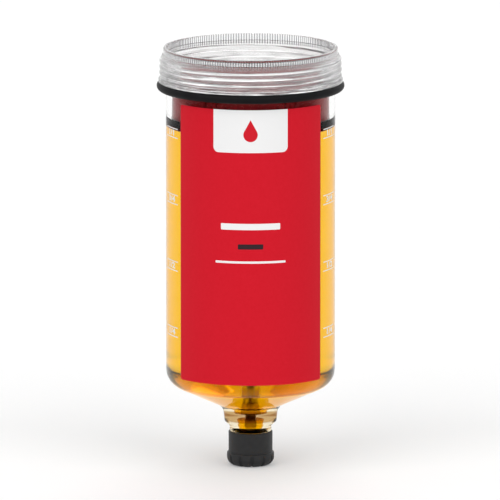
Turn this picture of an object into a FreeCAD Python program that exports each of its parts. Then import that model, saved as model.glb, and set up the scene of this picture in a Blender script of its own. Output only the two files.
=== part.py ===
"""Transparent oil cartridge of an automatic lubricator, with its piston, outlet valve and closure cap.

Millimetres, +Z up along the cartridge's axis. The origin is the centre of the cap's flat bottom,
and the label faces -Y.
"""
import FreeCAD, Part
import math
import os
import re
import Sketcher

from FreeCAD import Placement, Rotation, Vector

# Driving dimensions, in millimetres, degrees or pieces. Heights are lengths of one stretch each.
SIZES = (
    # outlet cap and its sealing disc
    ("cap_floor", 1.8),
    ("cap_height", 12.5),
    ("cap_diameter", 16.0),
    ("cap_grip_projection", 0.7),
    ("cap_grip_diameter", "=cap_diameter + 2 * cap_grip_projection"),
    ("cap_grip_height", 4.7),
    ("cap_grip_round", 3.0),
    ("cap_edge_bevel", 0.3),
    ("cap_bore_clearance", 0.1),
    ("cap_groove_count", 12),
    ("cap_groove_width", 0.9),
    ("cap_groove_depth", 0.5),
    ("cap_groove_height", 4.0),
    ("cap_groove_turn", 4),
    ("seal_disc_thickness", 1.2),
    ("seal_disc_clearance", 0.18),
    # outlet of the cartridge
    ("spigot_diameter", 13.16),
    ("spigot_length", 9.6),
    ("neck_diameter", 15.2),
    ("neck_length", 1.9),
    ("collar_foot_diameter", 18.9),
    ("collar_foot_rise", 1.8),
    ("collar_diameter", 20.0),
    ("collar_length", 5.3),
    ("collar_round", 4.0),
    ("outlet_diameter", 7.2),
    ("outlet_taper_length", 3.0),
    ("web_thickness", 2.4),
    ("web_drop", 2.2),
    ("web_lower_diameter", 8.8),
    ("throat_diameter", 10.4),
    # body of the cartridge
    ("body_diameter", 61.4),
    ("body_wall", 2.0),
    ("body_length", 110.3),
    ("shoulder_slope", 24.7),
    ("shoulder_round", 7.0),
    # threaded mouth for the drive unit
    ("socket_wall", 0.5),
    ("socket_diameter", "=body_diameter - 2 * socket_wall"),
    ("mouth_wall", 2.3),
    ("thread_root_diameter", "=socket_diameter + 2 * mouth_wall"),
    ("thread_depth", 0.55),
    ("thread_crest_diameter", "=thread_root_diameter + 2 * thread_depth"),
    ("thread_length", 7.8),
    ("thread_lead_in", 0.3),
    ("thread_pitch", 2.1),
    ("thread_foot_width", 1.7),
    ("thread_crest_width", 1.0),
    ("thread_turns", 2.75),
    ("flange_projection", 0.9),
    ("flange_diameter", "=thread_root_diameter + 2 * flange_projection"),
    ("flange_thickness", 1.0),
    ("mouth_step_inset", 0.35),
    ("mouth_step_diameter", "=thread_root_diameter - 2 * mouth_step_inset"),
    ("mouth_step_length", 1.0),
    ("rim_inset", 0.9),
    ("rim_diameter", "=thread_root_diameter - 2 * rim_inset"),
    ("rim_length", 2.5),
    ("socket_depth", 13.2),
    ("mouth_ring_section", 3.3),
    ("mouth_ring_sides", 12),
    # label on the front of the body
    ("label_thickness", 0.12),
    ("label_gap", 0.02),
    ("label_spread", 110),
    ("label_foot", 3.7),
    ("label_head", 5.8),
    ("label_height", "=body_length - label_foot - label_head"),
    ("label_corner", 1.0),
    # piston and its seal
    ("piston_inset", 16.3),
    ("charge_height", "=body_length - piston_inset"),
    ("piston_clearance", 0.3),
    ("piston_height", 14.4),
    ("piston_wall", 1.4),
    ("piston_nose_slope", 12.5),
    ("piston_nose_flat", 9.0),
    ("piston_floor", 1.8),
    ("piston_land", 0.8),
    ("piston_seal_height", 2.6),
    ("piston_seal_depth", 1.2),
    ("piston_seal_clearance", 0.05),
    ("piston_groove_clearance", 0.05),
    ("piston_ring_wall", 2.2),
    ("boss_diameter", 16.0),
    ("boss_bore", 11.2),
    ("boss_height", 8.4),
    ("rib_count", 6),
    ("rib_thickness", 1.2),
    ("rib_drop", 1.5),
    ("tongue_count", 6),
    ("tongue_angle", 8.6),
    ("tongue_slot_width", 0.55),
    ("tongue_slot_depth", 7.0),
    # brass outlet valve
    ("sleeve_diameter", 3.8),
    ("sleeve_length", 2.0),
    ("valve_diameter", 6.1),
    ("valve_top_diameter", 5.3),
    ("valve_height", 11.0),
    ("valve_chamfer", 0.4),
    ("valve_bore", 2.0),
    ("valve_guide_length", 2.0),
    ("stem_diameter", 1.1),
    ("stem_clearance", 0.05),
    ("port_count", 4),
    ("port_diameter", 1.1),
    ("poppet_head_diameter", 3.5),
    ("poppet_head_height", 1.0),
    ("spring_wire", 0.45),
    ("spring_wire_sides", 6),
    ("spring_diameter", 5.0),
    ("spring_length", 6.0),
    ("spring_pitch", 0.95),
    ("retainer_diameter", 5.2),
    ("retainer_height", 0.8),
    ("stem_end", 0.4),
    # oil
    ("oil_gap", 0.1),
    ("valve_room", 0.3),
)
NAMES = {name for name, value in SIZES}

# Heights and radii that several pieces share, each worked out from the sizes above.
SHARED = {
    "spigot_end": "(cap_floor + seal_disc_thickness)",
    "neck_foot": "({spigot_end} + spigot_length)",
    "neck_top": "({neck_foot} + neck_length)",
    "collar_foot": "({neck_top} + collar_foot_rise)",
    "shoulder_foot": "({collar_foot} + collar_length)",
    "slope": "tan(shoulder_slope * 1deg)",
    "shoulder_top": "({shoulder_foot} + (body_diameter - collar_diameter) / 2 * {slope})",
    "shoulder_wall": "(body_wall / cos(shoulder_slope * 1deg))",
    "bore": "(body_diameter / 2 - body_wall)",
    "inner_top": "({shoulder_top} + {shoulder_wall} - body_wall * {slope})",
    "throat_top": "({shoulder_foot} + {shoulder_wall} - (collar_diameter - throat_diameter) / 2 * {slope})",
    "web_top": "({shoulder_foot} - web_drop)",
    "web_foot": "({web_top} - web_thickness)",
    "taper_foot": "({web_foot} - outlet_taper_length)",
    "flange_foot": "({shoulder_top} + body_length)",
    "flange_top": "({flange_foot} + flange_thickness)",
    "thread_top": "({flange_top} + thread_length)",
    "step_top": "({thread_top} + mouth_step_length)",
    "rim_top": "({step_top} + rim_length)",
    "ledge": "({rim_top} - socket_depth)",
    "piston_foot": "({shoulder_top} + charge_height)",
    "piston_top": "({piston_foot} + piston_height)",
    "piston_radius": "({bore} - piston_clearance)",
    "nose_slope": "tan(piston_nose_slope * 1deg)",
    "nose_foot": "({piston_foot} - ({piston_radius} - piston_nose_flat / 2) * {nose_slope})",
    "seal_foot": "({piston_foot} + piston_land)",
    "seal_top": "({seal_foot} + piston_seal_height)",
    "groove_radius": "({piston_radius} - piston_seal_depth)",
    "cup_radius": "({piston_radius} - piston_wall)",
    "well_radius": "({groove_radius} - piston_ring_wall)",
    "well_foot": "({piston_foot} - ({piston_radius} - {well_radius}) * {nose_slope} + piston_floor)",
    "boss_foot": "({piston_foot} - ({piston_radius} - boss_diameter / 2) * {nose_slope} + piston_floor)",
    "boss_top": "({seal_top} + piston_land + boss_height - piston_floor - piston_land)",
    "valve_foot": "({web_foot} - sleeve_length)",
    "valve_top": "({web_top} + valve_height)",
    "retainer_foot": "({valve_top} + spring_length)",
    "retainer_top": "({retainer_foot} + retainer_height)",
    "stem_top": "({retainer_top} + stem_end)",
    "valve_room_radius": "(valve_diameter / 2 + valve_room)",
    "spigot_bore": "(spigot_diameter / 2 + cap_bore_clearance)",
}

doc = FreeCAD.newDocument("oil_cartridge")
sheet = doc.addObject("Spreadsheet::Sheet", "Sizes")


def fill_sheet():
    """Write each driving dimension into its own cell, under its own alias."""
    for row, (name, value) in enumerate(SIZES, start=1):
        sheet.set(f"A{row}", name)
        sheet.set(f"B{row}", str(value))
        sheet.setAlias(f"B{row}", name)
    doc.recompute()


def formula(text):
    """The expression for a formula that names sizes, with the shared ones in braces put in full."""
    while "{" in text:
        text = text.format(**SHARED)
    return re.sub(r"[a-z_]+", lambda word: f"Sizes.{word[0]}" if word[0] in NAMES else word[0], text)


def number(text):
    """The value of a formula, in millimetres or degrees."""
    value = sheet.evalExpression(formula(text))
    return float(getattr(value, "Value", value))


def plane(body, role):
    """One of the body's own origin planes."""
    return next(item for item in body.Origin.OriginFeatures if item.Role == role)


def axis(body, role):
    """One of the body's own origin axes, as a reference."""
    return (plane(body, role), [""])


def new_sketch(body, name, role="XZ_Plane", turn=None):
    """A sketch on one of the body's planes, turned about the vertical by a formula in degrees."""
    sketch = body.newObject("Sketcher::SketchObject", name)
    sketch.AttachmentSupport = [(plane(body, role), "")]
    sketch.MapMode = "FlatFace"
    if turn:
        sketch.AttachmentOffset = Placement(Vector(), Rotation(Vector(0, 1, 0), number(turn)))
        sketch.setExpression("AttachmentOffset.Rotation.Angle", f"{formula(turn)} * 1deg")
    return sketch


def place_point(sketch, curve, end, where):
    """Tie one point of a sketch to its pair of formulas; a plain 0 puts it on the axis."""
    for kind, text, line in (("DistanceX", where[0], -2), ("DistanceY", where[1], -1)):
        if text == "0":
            sketch.addConstraint(Sketcher.Constraint("PointOnObject", curve, end, line))
            continue
        rule = sketch.addConstraint(Sketcher.Constraint(kind, -1, 1, curve, end, number(text)))
        sketch.setExpression(f"Constraints[{rule}]", formula(text))


def outline(sketch, corners):
    """A closed outline of straight lines; each corner is a pair of formulas (across, up).

    A third formula rounds the corner with an arc of that radius, tangent to both lines.
    """
    count = len(corners)
    points = [Vector(number(corner[0]), number(corner[1]), 0) for corner in corners]
    bends = [bend_points(points, index, corner) for index, corner in enumerate(corners)]
    for index in range(count):
        line = Part.LineSegment(bends[index][-1], bends[(index + 1) % count][0])
        sketch.addGeometry(line, False)
    for index, corner in enumerate(corners):
        before = (index - 1) % count
        if len(corner) == 3:
            round_corner(sketch, before, index, corner, bends[index])
            continue
        sketch.addConstraint(Sketcher.Constraint("Coincident", before, 2, index, 1))
        place_point(sketch, index, 1, corner)
    return sketch


def bend_points(points, index, corner):
    """Start, centre and end of the arc in a rounded corner, or the plain corner alone."""
    meeting = points[index]
    if len(corner) == 2:
        return [meeting]
    first = (points[index - 1] - meeting).normalize()
    last = (points[(index + 1) % len(points)] - meeting).normalize()
    half_angle = first.getAngle(last) / 2
    reach = number(corner[2]) / math.tan(half_angle)
    centre = meeting + (first + last).normalize() * (reach / math.cos(half_angle))
    return [meeting + first * reach, centre, meeting + last * reach]


def round_corner(sketch, before, after, corner, bend):
    """Join two lines of a sketch by a tangent arc; their meeting point keeps its place."""
    first, centre, last = bend
    ends = (1, 2)
    if (first - centre).cross(last - centre).z < 0:
        first, last = last, first
        ends = (2, 1)
    ring = Part.Circle(centre, Vector(0, 0, 1), number(corner[2]))
    arc = sketch.addGeometry(Part.ArcOfCircle(ring, ring.parameter(first), ring.parameter(last)), False)
    sketch.addConstraint(Sketcher.Constraint("Tangent", before, 2, arc, ends[0]))
    sketch.addConstraint(Sketcher.Constraint("Tangent", arc, ends[1], after, 1))
    rule = sketch.addConstraint(Sketcher.Constraint("Radius", arc, number(corner[2])))
    sketch.setExpression(f"Constraints[{rule}]", formula(corner[2]))
    meeting = sketch.addGeometry(Part.Point(Vector(number(corner[0]), number(corner[1]), 0)), True)
    sketch.addConstraint(Sketcher.Constraint("PointOnObject", meeting, 1, before))
    sketch.addConstraint(Sketcher.Constraint("PointOnObject", meeting, 1, after))
    place_point(sketch, meeting, 1, corner)


def many_sided(centre, radius, sides):
    """Corners of an even outline with a number of flat sides, one of them straight above the centre."""
    turns = [90 + 360 * index / number(sides) for index in range(int(number(sides)))]
    return [(f"{centre[0]} + {radius} * cos({turn} * 1deg)", f"{centre[1]} + {radius} * sin({turn} * 1deg)")
            for turn in turns]


def new_body(name):
    """An empty body; its label is the name of the piece."""
    return doc.addObject("PartDesign::Body", name)


def turned(body, name, corners, angle="360"):
    """Turn a closed outline about the vertical axis."""
    sketch = outline(new_sketch(body, name + "_outline"), corners)
    solid = body.newObject("PartDesign::Revolution", name)
    solid.Profile = sketch
    solid.ReferenceAxis = (sketch, ["V_Axis"])
    solid.Angle = number(angle)
    if angle != "360":
        solid.Midplane = True
        solid.setExpression("Angle", formula(angle))
    doc.recompute()
    return solid


def ring_edges(shape, rings):
    """Names of the round edges at the given pairs of formulas (radius, height)."""
    wanted = [(number(radius), number(height)) for radius, height in rings]
    found = []
    for index, edge in enumerate(shape.Edges, start=1):
        if not isinstance(edge.Curve, Part.Circle):
            continue
        radius, height = edge.Curve.Radius, edge.Curve.Center.z
        if any(abs(radius - r) < 0.01 and abs(height - z) < 0.01 for r, z in wanted):
            found.append(f"Edge{index}")
    return found


def finish_edges(body, kind, name, size, edges):
    """Fillet or chamfer some edges of the body as it stands."""
    base = body.Tip
    feature = body.newObject("PartDesign::" + kind, name)
    feature.Base = (base, edges)
    feature.setExpression("Radius" if kind == "Fillet" else "Size", formula(size))
    doc.recompute()
    return feature


def cut(body, name, sketch, width=None):
    """Pocket a sketch through both sides of its plane, to a width or through all."""
    before = body.Shape.Volume
    pocket = body.newObject("PartDesign::Pocket", name)
    pocket.Profile = sketch
    pocket.Midplane = True
    if width:
        pocket.Length = number(width)
        pocket.setExpression("Length", formula(width))
    else:
        pocket.Type = 1
    doc.recompute()
    if not body.Shape.Volume < before - 1e-3:
        raise RuntimeError(f"{name} cuts nothing")
    return pocket


def repeated(body, name, features, count):
    """Repeat features evenly about the vertical axis."""
    pattern = body.newObject("PartDesign::PolarPattern", name)
    pattern.Originals = features
    pattern.Axis = axis(body, "Z_Axis")
    pattern.Angle = 360
    pattern.Occurrences = int(number(count))
    pattern.setExpression("Occurrences", formula(count))
    body.Tip = pattern
    doc.recompute()
    return pattern


def make_shell():
    """Clear shell, blown and moulded in one piece: spigot, collar, shoulder, barrel and mouth."""
    body = new_body("cartridge_shell")
    turned(body, "shell_wall", (
        ("outlet_diameter / 2", "{spigot_end}"),
        ("spigot_diameter / 2", "{spigot_end}"),
        ("spigot_diameter / 2", "{neck_foot}"),
        ("neck_diameter / 2", "{neck_foot}"),
        ("neck_diameter / 2", "{neck_top}"),
        ("collar_foot_diameter / 2", "{collar_foot}"),
        ("collar_diameter / 2", "{shoulder_foot}", "collar_round"),
        ("body_diameter / 2", "{shoulder_top}", "shoulder_round"),
        ("body_diameter / 2", "{flange_foot}"),
        ("flange_diameter / 2", "{flange_foot}"),
        ("flange_diameter / 2", "{flange_top}"),
        ("thread_root_diameter / 2", "{flange_top}"),
        ("thread_root_diameter / 2", "{thread_top}"),
        ("mouth_step_diameter / 2", "{thread_top}"),
        ("mouth_step_diameter / 2", "{step_top}"),
        ("rim_diameter / 2", "{step_top}"),
        ("rim_diameter / 2", "{rim_top}"),
        ("socket_diameter / 2", "{rim_top}"),
        ("socket_diameter / 2", "{ledge}"),
        ("{bore}", "{ledge}"),
        ("{bore}", "{inner_top}", "shoulder_round - body_wall"),
        ("throat_diameter / 2", "{throat_top}"),
        ("throat_diameter / 2", "{web_top}"),
        ("sleeve_diameter / 2", "{web_top}"),
        ("sleeve_diameter / 2", "{web_foot}"),
        ("web_lower_diameter / 2", "{web_foot}"),
        ("outlet_diameter / 2", "{taper_foot}"),
    ))
    add_mouth_thread(body)
    return body


def add_mouth_thread(body):
    """Right-hand thread round the mouth, on which the drive unit's sleeve screws down."""
    foot = "({flange_top} + thread_lead_in)"
    middle = f"({foot} + thread_foot_width / 2)"
    sketch = outline(new_sketch(body, "thread_section"), (
        ("thread_root_diameter / 2 - 0.1", foot),
        ("thread_crest_diameter / 2", f"{middle} - thread_crest_width / 2"),
        ("thread_crest_diameter / 2", f"{middle} + thread_crest_width / 2"),
        ("thread_root_diameter / 2 - 0.1", f"{foot} + thread_foot_width"),
    ))
    thread = body.newObject("PartDesign::AdditiveHelix", "mouth_thread")
    thread.Profile = sketch
    thread.ReferenceAxis = (sketch, ["V_Axis"])
    thread.Mode = 0
    thread.setExpression("Pitch", formula("thread_pitch"))
    thread.setExpression("Height", formula("thread_pitch * thread_turns"))
    doc.recompute()
    return thread


def make_mouth_ring():
    """Rubber O-ring that seals the drive unit's sleeve, under the flange of the mouth."""
    body = new_body("collar_o_ring")
    radius = "(mouth_ring_section / 2)"
    centre = (f"(body_diameter / 2 + {radius})", f"({{flange_foot}} - {radius})")
    turned(body, "ring_turning", many_sided(centre, radius, "mouth_ring_sides"))
    return body


def make_label():
    """Printed film stuck round the front of the barrel."""
    body = new_body("front_label")
    inner = "body_diameter / 2 + label_gap"
    foot = "{shoulder_top} + label_foot"
    turned(body, "label_film", (
        (inner, foot),
        (inner + " + label_thickness", foot),
        (inner + " + label_thickness", foot + " + label_height"),
        (inner, foot + " + label_height"),
    ), angle="label_spread")
    corners = [f"Edge{index}" for index, edge in enumerate(body.Shape.Edges, start=1)
               if edge.Length < 2 * number("label_thickness")]
    finish_edges(body, "Fillet", "label_corners", "label_corner", corners)
    body.Placement = Placement(Vector(), Rotation(Vector(0, 0, 1), -90))
    return body


def make_piston():
    """Red piston, a moulded cup with a shallow conical nose, radial ribs and sprung tongues."""
    body = new_body("piston_body")
    groove_top = "{seal_top} + piston_groove_clearance"
    turned(body, "piston_cup", (
        ("0", "{nose_foot}"),
        ("piston_nose_flat / 2", "{nose_foot}"),
        ("{piston_radius}", "{piston_foot}"),
        ("{piston_radius}", "{seal_foot} - piston_groove_clearance"),
        ("{groove_radius}", "{seal_foot} - piston_groove_clearance"),
        ("{groove_radius}", groove_top),
        ("{piston_radius}", groove_top),
        ("{piston_radius}", "{piston_top}"),
        ("{cup_radius}", "{piston_top}"),
        ("{cup_radius}", "{seal_top} + piston_wall"),
        ("{well_radius}", "{seal_top}"),
        ("{well_radius}", "{well_foot}"),
        ("boss_diameter / 2", "{boss_foot}"),
        ("boss_diameter / 2", "{boss_foot} + boss_height"),
        ("boss_bore / 2", "{boss_foot} + boss_height"),
        ("boss_bore / 2", "{nose_foot} + piston_floor"),
        ("0", "{nose_foot} + piston_floor"),
    ))
    add_piston_ribs(body)
    add_piston_tongues(body)
    return body


def add_piston_ribs(body):
    """Radial ribs from the central boss to the ring behind the seal."""
    middle_of_boss = "(boss_diameter + boss_bore) / 4"
    middle_of_ring = "{well_radius} + piston_ring_wall / 2"
    sketch = outline(new_sketch(body, "rib_outline", "YZ_Plane"), (
        (middle_of_boss, "{boss_foot} - piston_floor / 2"),
        (middle_of_ring, "{well_foot} - piston_floor / 2"),
        (middle_of_ring, "{seal_top} - piston_land"),
        (middle_of_boss, "{boss_foot} + boss_height - rib_drop"),
    ))
    rib = body.newObject("PartDesign::Pad", "rib")
    rib.Profile = sketch
    rib.Midplane = True
    rib.setExpression("Length", formula("rib_thickness"))
    doc.recompute()
    repeated(body, "ribs", [rib], "rib_count")


def add_piston_tongues(body):
    """Pairs of narrow slots that free sprung tongues in the skirt's top edge."""
    slots = []
    for side, turn in (("left", "tongue_angle / 2"), ("right", "-tongue_angle / 2")):
        sketch = outline(new_sketch(body, f"{side}_slot_outline", turn=turn), (
            ("{cup_radius} - piston_wall / 2", "{piston_top} - tongue_slot_depth"),
            ("{piston_radius} + piston_wall", "{piston_top} - tongue_slot_depth"),
            ("{piston_radius} + piston_wall", "{piston_top} + piston_wall"),
            ("{cup_radius} - piston_wall / 2", "{piston_top} + piston_wall"),
        ))
        slots.append(cut(body, f"{side}_slot", sketch, "tongue_slot_width"))
    repeated(body, "tongue_slots", slots, "tongue_count")


def make_piston_seal():
    """Black rubber ring in the piston's groove, which wipes the bore."""
    body = new_body("piston_seal")
    inner, outer = "{groove_radius}", "{bore} - piston_seal_clearance"
    turned(body, "seal_ring", (
        (inner, "{seal_foot}"),
        (outer, "{seal_foot}"),
        (outer, "{seal_top}"),
        (inner, "{seal_top}"),
    ))
    return body


def make_valve_body():
    """Turned brass valve body: a sleeve pressed into the web, and a ported head above it."""
    body = new_body("valve_body")
    guide = "stem_diameter / 2 + stem_clearance"
    turned(body, "valve_turning", (
        ("valve_bore / 2", "{valve_foot}"),
        ("sleeve_diameter / 2", "{valve_foot}"),
        ("sleeve_diameter / 2", "{web_top}"),
        ("valve_diameter / 2", "{web_top}"),
        ("valve_top_diameter / 2", "{valve_top}"),
        (guide, "{valve_top}"),
        (guide, "{valve_top} - valve_guide_length"),
        ("valve_bore / 2", "{valve_top} - valve_guide_length"),
    ))
    edges = ring_edges(body.Shape, [("valve_top_diameter / 2", "{valve_top}")])
    finish_edges(body, "Chamfer", "valve_top_chamfer", "valve_chamfer", edges)
    height = "({web_top} + {valve_top} - valve_guide_length) / 2"
    sketch = outline(new_sketch(body, "port_outline", "YZ_Plane"), (
        ("valve_bore / 4", f"{height} - port_diameter / 2"),
        ("valve_diameter", f"{height} - port_diameter / 2"),
        ("valve_diameter", f"{height} + port_diameter / 2"),
        ("valve_bore / 4", f"{height} + port_diameter / 2"),
    ))
    port = cut(body, "port", sketch, "port_diameter")
    repeated(body, "ports", [port], "port_count")
    return body


def make_poppet():
    """Brass poppet: its head closes the sleeve from below, its stem runs up through the guide."""
    body = new_body("valve_poppet")
    turned(body, "poppet_turning", (
        ("0", "{valve_foot} - poppet_head_height"),
        ("poppet_head_diameter / 2", "{valve_foot} - poppet_head_height"),
        ("poppet_head_diameter / 2", "{valve_foot}"),
        ("stem_diameter / 2", "{valve_foot}"),
        ("stem_diameter / 2", "{stem_top}"),
        ("0", "{stem_top}"),
    ))
    return body


def make_retainer():
    """Brass washer riveted on the stem's end, on which the spring pushes."""
    body = new_body("valve_retainer")
    turned(body, "retainer_turning", (
        ("stem_diameter / 2", "{retainer_foot}"),
        ("retainer_diameter / 2", "{retainer_foot}"),
        ("retainer_diameter / 2", "{retainer_top}"),
        ("stem_diameter / 2", "{retainer_top}"),
    ))
    return body


def make_spring():
    """Steel coil spring between the valve body and the retainer, which holds the poppet shut."""
    body = new_body("valve_spring")
    centre = ("(spring_diameter - spring_wire) / 2", "({valve_top} + spring_wire / 2)")
    sketch = outline(new_sketch(body, "wire_section"),
                     many_sided(centre, "(spring_wire / 2)", "spring_wire_sides"))
    coil = body.newObject("PartDesign::AdditiveHelix", "spring_coil")
    coil.Profile = sketch
    coil.ReferenceAxis = (sketch, ["V_Axis"])
    coil.Mode = 0
    coil.setExpression("Pitch", formula("spring_pitch"))
    coil.setExpression("Height", formula("spring_length - spring_wire"))
    doc.recompute()
    return body


def make_oil():
    """Oil charge between the piston and the web, with room kept clear for the valve."""
    body = new_body("oil_fill")
    room_top = "{stem_top} + valve_room"
    wall = "({bore} - oil_gap)"
    drop = "oil_gap / cos(shoulder_slope * 1deg)"
    bevel = "((shoulder_round - body_wall) * tan((90 - shoulder_slope) * 0.5deg))"
    turned(body, "oil_charge", (
        ("{valve_room_radius}", "{web_top} + oil_gap"),
        ("throat_diameter / 2 - oil_gap", "{web_top} + oil_gap"),
        ("throat_diameter / 2 - oil_gap", "{throat_top} + " + drop),
        (f"{wall} - {bevel} * cos(shoulder_slope * 1deg)",
         f"{{inner_top}} + {drop} - {bevel} * sin(shoulder_slope * 1deg)"),
        (wall, f"{{inner_top}} + {drop} + {bevel}"),
        (wall, "{piston_foot} - oil_gap"),
        ("{piston_radius}", "{piston_foot} - oil_gap"),
        ("piston_nose_flat / 2", "{nose_foot} - oil_gap"),
        ("0", "{nose_foot} - oil_gap"),
        ("0", room_top),
        ("{valve_room_radius}", room_top),
    ))
    return body


def make_outlet_oil():
    """Oil that stands in the outlet below the web, with room for the poppet's stroke."""
    body = new_body("outlet_oil")
    room = "poppet_head_diameter / 2 + valve_room"
    room_foot = "{valve_foot} - poppet_head_height - poppet_head_height - valve_room"
    turned(body, "outlet_charge", (
        ("0", "{spigot_end} + oil_gap"),
        ("outlet_diameter / 2 - oil_gap", "{spigot_end} + oil_gap"),
        ("outlet_diameter / 2 - oil_gap", "{taper_foot}"),
        ("web_lower_diameter / 2 - oil_gap", "{web_foot} - oil_gap"),
        (room, "{web_foot} - oil_gap"),
        (room, room_foot),
        ("0", room_foot),
    ))
    return body


def make_cap():
    """Black closure cap that screws on the outlet spigot, with a grooved and rounded grip."""
    body = new_body("outlet_cap")
    turned(body, "cap_cup", (
        ("0", "0"),
        ("cap_grip_diameter / 2", "0", "cap_grip_round"),
        ("cap_grip_diameter / 2", "cap_grip_height"),
        ("cap_diameter / 2", "cap_grip_height"),
        ("cap_diameter / 2", "cap_height"),
        ("{spigot_bore}", "cap_height"),
        ("{spigot_bore}", "cap_floor"),
        ("0", "cap_floor"),
    ))
    edges = ring_edges(body.Shape, [("cap_grip_diameter / 2", "cap_grip_height"),
                                    ("cap_diameter / 2", "cap_height")])
    finish_edges(body, "Chamfer", "cap_edges", "cap_edge_bevel", edges)
    bend = "(cap_grip_round - cap_groove_depth)"
    flat = "(cap_grip_diameter / 2 - cap_grip_round)"
    sketch = outline(new_sketch(body, "groove_outline", turn="cap_groove_turn"), (
        (flat, "0 - cap_groove_depth"),
        ("cap_grip_diameter / 2 + cap_groove_depth", "0 - cap_groove_depth"),
        ("cap_grip_diameter / 2 + cap_groove_depth", "cap_groove_height"),
        ("cap_grip_diameter / 2 - cap_groove_depth", "cap_groove_height"),
        ("cap_grip_diameter / 2 - cap_groove_depth", "cap_grip_round"),
        (f"{flat} + {bend} * cos(45deg)", f"cap_grip_round - {bend} * sin(45deg)"),
        (flat, "cap_groove_depth"),
    ))
    groove = cut(body, "grip_groove", sketch, "cap_groove_width")
    repeated(body, "grip_grooves", [groove], "cap_groove_count")
    return body


def make_cap_seal():
    """Soft sealing disc in the bottom of the cap, pressed against the spigot's end."""
    disc = doc.addObject("Part::Cylinder", "outlet_cap_seal")
    disc.setExpression("Radius", formula("{spigot_bore} - seal_disc_clearance"))
    disc.setExpression("Height", formula("seal_disc_thickness"))
    disc.Placement = Placement(Vector(0, 0, number("cap_floor")), Rotation())
    disc.setExpression("Placement.Base.z", formula("cap_floor"))
    return disc


def check_document():
    """Stop if a feature failed without a message."""
    doc.recompute()
    for item in doc.Objects:
        if any(word in item.State for word in ("Invalid", "Error")):
            raise RuntimeError(f"{item.Label} failed: {item.State}")


def write_parts(pieces):
    """Write each piece to its own file."""
    for piece in pieces:
        if piece.Shape.isNull() or not piece.Shape.isValid():
            raise RuntimeError(f"{piece.Label} has no valid shape")
    os.makedirs("parts", exist_ok=True)
    for piece in pieces:
        piece.Shape.exportStep(f"parts/{piece.Label}.step")
        box = piece.Shape.BoundBox
        print(f"{piece.Label:16} {piece.Shape.Volume:10.1f} mm3  z {box.ZMin:7.2f} to {box.ZMax:7.2f}  "
              f"r {box.XMax:6.2f}  solids {len(piece.Shape.Solids)}")


fill_sheet()
PIECES = [make() for make in (
    make_shell, make_mouth_ring, make_label, make_piston, make_piston_seal,
    make_valve_body, make_poppet, make_retainer, make_spring,
    make_oil, make_outlet_oil, make_cap, make_cap_seal,
)]
check_document()
write_parts(PIECES)
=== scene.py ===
"""Looks of a transparent oil cartridge for an automatic lubricator, piece by piece as it is put together.

Lengths are in millimetres until a mesh is made. +Z is up, the label faces -Y, and the turning angle
of every round piece starts at +X and grows towards +Y.
"""
import math
import bmesh
import bpy
import numpy as np
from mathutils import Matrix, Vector


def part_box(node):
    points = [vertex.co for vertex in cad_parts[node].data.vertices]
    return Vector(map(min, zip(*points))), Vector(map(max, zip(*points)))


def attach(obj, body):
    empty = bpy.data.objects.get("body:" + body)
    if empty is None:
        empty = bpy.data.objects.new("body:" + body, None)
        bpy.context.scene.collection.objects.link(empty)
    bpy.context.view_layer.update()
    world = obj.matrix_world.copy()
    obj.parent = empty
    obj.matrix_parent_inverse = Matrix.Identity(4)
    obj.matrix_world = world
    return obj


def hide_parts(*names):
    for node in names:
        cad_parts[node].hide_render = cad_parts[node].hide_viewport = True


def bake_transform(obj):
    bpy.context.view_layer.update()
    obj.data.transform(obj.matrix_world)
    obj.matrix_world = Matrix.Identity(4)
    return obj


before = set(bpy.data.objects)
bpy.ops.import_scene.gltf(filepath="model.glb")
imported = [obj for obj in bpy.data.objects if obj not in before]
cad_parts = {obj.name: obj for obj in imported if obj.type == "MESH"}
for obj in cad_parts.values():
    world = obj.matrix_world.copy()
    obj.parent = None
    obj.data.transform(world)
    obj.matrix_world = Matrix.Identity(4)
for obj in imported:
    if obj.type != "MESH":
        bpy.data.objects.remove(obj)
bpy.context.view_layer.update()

# Cartridge shell: one clear injection-moulded piece, from the threaded mouth for the drive unit down to
# the outlet spigot. Fine teeth line its rim, and a web carries the valve.
MM = 0.001
SPIGOT_END, RIM_TOP = (corner[2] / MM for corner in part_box("cartridge_shell"))
FLANGE_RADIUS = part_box("cartridge_shell")[1][0] / MM
FLANGE_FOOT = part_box("collar_o_ring")[1][2] / MM
BARREL_RADIUS = 30.7
BORE_RADIUS = 28.7
SHOULDER_TOP = 32.4
CHARGE_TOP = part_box("piston_seal")[0][2] / MM - 0.15
THROAT_RADIUS, THROAT_TOP = 5.2, 21.6
WEB_FOOT, WEB_TOP = 17.0, 19.4
VALVE_HOLE_RADIUS = 1.9
OUTLET_RADIUS = 3.6
TAPER_RADIUS, TAPER_FOOT = 4.4, 14.0
SPIGOT_RADIUS, SPIGOT_SEAT = 6.58, 12.6
SEAT_RADIUS = 7.6
FLANGE_TOP = FLANGE_FOOT + 1.0
STEP_RADIUS, STEP_FOOT, STEP_TOP = 32.15, RIM_TOP - 3.5, RIM_TOP - 2.5
RIM_RADIUS = 31.6
SHELL_COLUMNS = 200
MOUTH_THREAD = {
    "root": 32.5, "height": 0.55, "pitch": 2.1, "half_width": 1.0,
    "foot": FLANGE_FOOT + 2.15, "first": -0.3, "last": 3.05, "fade": 0.5,
}
SPIGOT_THREAD = {
    "root": SPIGOT_RADIUS, "height": -0.78, "pitch": 1.337, "half_width": 0.62,
    "foot": SPIGOT_END + 0.9, "first": 0, "last": 6.3, "fade": 1.2,
}
SOCKET_RADIUS = 30.2
SOCKET_FLOOR = RIM_TOP - 13.2
TOOTH_DEPTH = 0.45
TOOTH_LENGTH = 4.4
TOOTH_SAMPLES = 4
TEETH_FOOT = RIM_TOP - TOOTH_LENGTH - 0.5
RIPPLE = 0.18
RIPPLE_PITCH = 0.75
NECK_TOP = 22.4
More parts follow.
